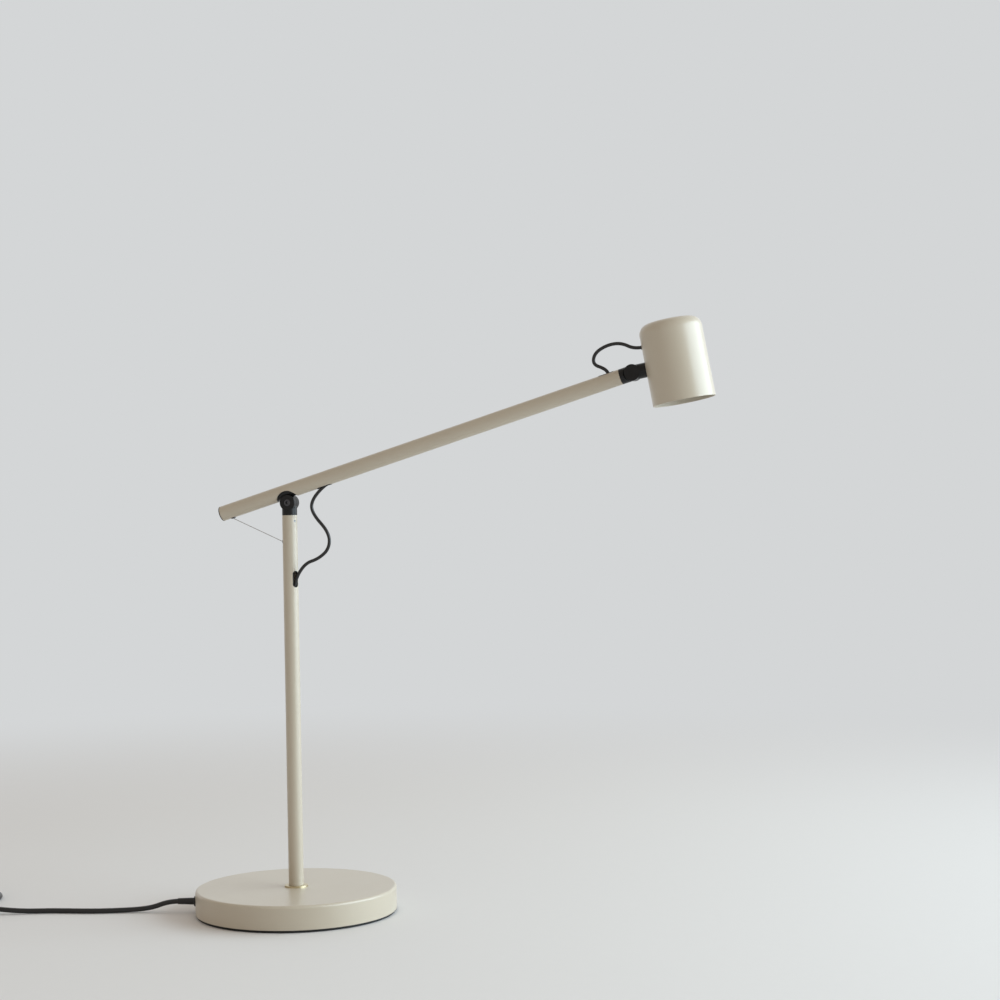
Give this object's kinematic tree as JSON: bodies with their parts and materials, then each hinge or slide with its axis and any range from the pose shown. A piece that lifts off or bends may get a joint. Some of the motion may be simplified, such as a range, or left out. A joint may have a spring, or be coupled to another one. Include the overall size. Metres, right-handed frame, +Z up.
{
  "type": "balance desk lamp",
  "caption": "Desk lamp with a heavy round base, a straight post, a balanced tilting arm with a short tail and tensioned wire, and a small cylindrical tilting shade.",
  "frame": {"origin": "centre of the underside of the base pad, on the axis of the post", "axes": "+Z up along the post; at rest the arm lies in the XZ plane with the shade towards +X"},
  "size_m": [1.0166, 0.24, 0.6954],
  "materials": {
    "greige_paint": "satin",
    "shade_paint": "satin paint",
    "black_metal": "semi-gloss",
    "black_plastic": "fine matte",
    "rubber": "matte",
    "cable_sheath": "smooth",
    "steel": "bright",
    "black_steel": "black oxide",
    "brass": "polished",
    "bronze": "plain",
    "cast_iron": "cast",
    "ceramic": "glazed",
    "bulb_glass": "silvered",
    "lens_glass": "frosted"
  },
  "bodies": {
    "base": {"base_pad": "rubber", "base_plate": "black_metal", "base_plate_screws": "steel", "base_cover": "greige_paint", "base_weight": "cast_iron", "bearing_bush": "bronze", "foot_ring": "brass", "stop_pin": "steel", "terminal_block": "ceramic", "cord_gland": "black_plastic", "gland_nut": "black_plastic", "base_leads": "cable_sheath", "mains_cord": "cable_sheath", "switch_body": "black_plastic", "coil_feed": "cable_sheath", "mains_coil": "cable_sheath", "plug_feed": "cable_sheath", "plug_body": "black_plastic", "plug_pins": "brass"},
    "rocker": {"switch_rocker": "black_plastic"},
    "post": {"post_foot": "steel", "swivel_washers": "steel", "swivel_nut": "steel", "post_tube": "greige_paint", "post_slot_grommet": "rubber", "wire_eyelet": "black_plastic", "post_knuckle": "black_metal", "post_grub_screw": "steel", "pivot_screw": "black_steel", "pivot_nut": "steel", "pivot_washers": "steel", "roller_fork": "steel", "balance_wire": "steel", "balance_spring": "steel", "spring_anchor": "black_metal", "post_lead": "cable_sheath", "pivot_cable_loop": "cable_sheath"},
    "roller": {"guide_roller": "brass"},
    "wire_end": {"wire_ferrule": "steel"},
    "arm": {"arm_tube": "greige_paint", "arm_end_cap": "black_plastic", "arm_knuckle": "black_metal", "arm_insert_screws": "black_steel", "wire_anchor": "black_steel", "arm_slot_grommets": "rubber", "arm_lead": "cable_sheath", "arm_collar": "black_metal", "head_cable_loop": "cable_sheath"},
    "head": {"head_pivot_washers": "steel", "head_pivot_screw": "black_steel", "head_stem": "black_metal", "stem_fixings": "steel", "shade": "shade_paint", "shade_grommet": "rubber", "holder_bracket": "steel", "lampholder": "ceramic", "head_lead": "cable_sheath", "bulb_body": "bulb_glass", "bulb_lens": "lens_glass"}
  },
  "joints": [
    {"name": "post_swivel", "type": "hinge", "parent": "base", "child": "post", "pos_m": [0, 0, 0.031], "axis": [0, 0, 1], "range_deg": [-164, 164]},
    {"name": "arm_tilt", "type": "hinge", "parent": "post", "child": "arm", "pos_m": [0, 0, 0.491], "axis": [0, -1, 0], "range_deg": [-45, 30], "deforming": ["balance_wire", "pivot_cable_loop"]},
    {"name": "head_tilt", "type": "hinge", "parent": "arm", "child": "head", "pos_m": [0.42303, 0, 0.63293], "axis": [0, -1, 0], "range_deg": [-48, 50], "deforming": ["head_cable_loop"]},
    {"name": "wire_travel", "type": "slide", "parent": "post", "child": "wire_end", "axis": [0, 0, 1], "range_m": [-0.026, 0.038], "deforming": ["balance_spring"]},
    {"name": "roller_spin", "type": "hinge", "parent": "post", "child": "roller", "pos_m": [-0.0039, 0, 0.4386], "axis": [0, 1, 0], "range_deg": [-720, 720]},
    {"name": "switch_tilt", "type": "hinge", "parent": "base", "child": "rocker", "pos_m": [-0.391, -0.092, 0.01255], "axis": [0.1994, -0.9799, 0], "range_deg": [-12, 0]}
  ],
  "couplings": [
    {"joint": "wire_travel", "follows": "arm_tilt", "m_per_rad": -0.0463},
    {"joint": "roller_spin", "follows": "arm_tilt", "ratio": 14.925}
  ]
}
